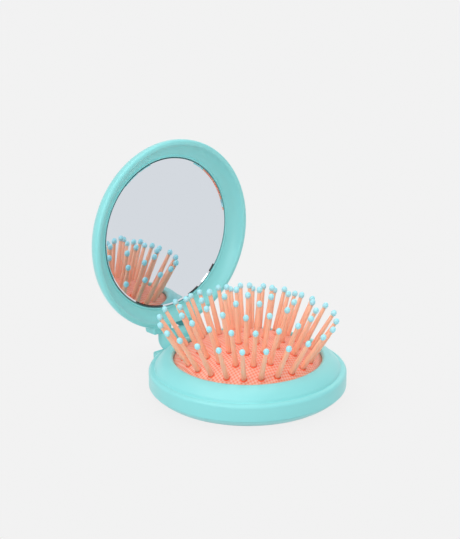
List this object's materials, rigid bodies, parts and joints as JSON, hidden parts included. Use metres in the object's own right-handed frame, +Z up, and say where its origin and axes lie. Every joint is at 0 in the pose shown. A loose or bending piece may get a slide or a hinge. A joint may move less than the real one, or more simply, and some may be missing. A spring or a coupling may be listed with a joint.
{
  "type": "folding hairbrush with mirror",
  "caption": "Round compact hairbrush: domed rubber cushion with ball-tipped bristles in a low base, a push button beneath, and a hinged lid that holds a round mirror.",
  "frame": {"origin": "centre of the thumb opening in the base's underside, on the plane that the base stands on", "axes": "+Z up out of the base, +Y towards the hinge, +X along the hinge pin"},
  "size_m": [0.085, 0.1033, 0.1009],
  "materials": {
    "teal_shell": "soft-touch matt",
    "inner_plastic": "moulded",
    "cushion_rubber": "fine woven texture",
    "steel": "plated",
    "button_plastic": "moulded",
    "bristle_nylon": "slightly translucent satin",
    "tip_nylon": "smooth",
    "mirror_silver": "silvered glass, polished bevel",
    "tape_foam": "foam adhesive tape"
  },
  "bodies": {
    "base": {"base_housing": "teal_shell", "base_cover": "teal_shell", "clamp_ring": "inner_plastic", "cushion": "cushion_rubber", "cover_screws": "steel", "hinge_pin": "steel"},
    "brush": {"push_button": "button_plastic", "bristle_centre": "bristle_nylon", "bristle_ring_1": "bristle_nylon", "bristle_ring_2": "bristle_nylon", "bristle_ring_3": "bristle_nylon", "bristle_ring_4": "bristle_nylon", "tip_centre": "tip_nylon", "tip_ring_1": "tip_nylon", "tip_ring_2": "tip_nylon", "tip_ring_3": "tip_nylon", "tip_ring_4": "tip_nylon"},
    "lid": {"lid_shell": "teal_shell", "lid_frame": "teal_shell", "mirror": "mirror_silver", "mirror_tape": "tape_foam"}
  },
  "joints": [
    {"name": "lid_hinge", "type": "hinge", "parent": "base", "child": "lid", "pos_m": [0, 0.047, 0.0115], "axis": [1, 0, 0], "range_deg": [0, 92.4]},
    {"name": "brush_pop", "type": "slide", "parent": "base", "child": "brush", "axis": [0, 0, 1], "range_m": [-0.0176, 0], "deforming": ["cushion", "bristle_centre", "bristle_ring_1", "bristle_ring_2", "bristle_ring_3", "bristle_ring_4", "tip_centre", "tip_ring_1", "tip_ring_2", "tip_ring_3", "tip_ring_4"]}
  ],
  "couplings": [
    {"joint": "brush_pop", "follows": "lid_hinge", "m_per_rad": -0.01091}
  ]
}
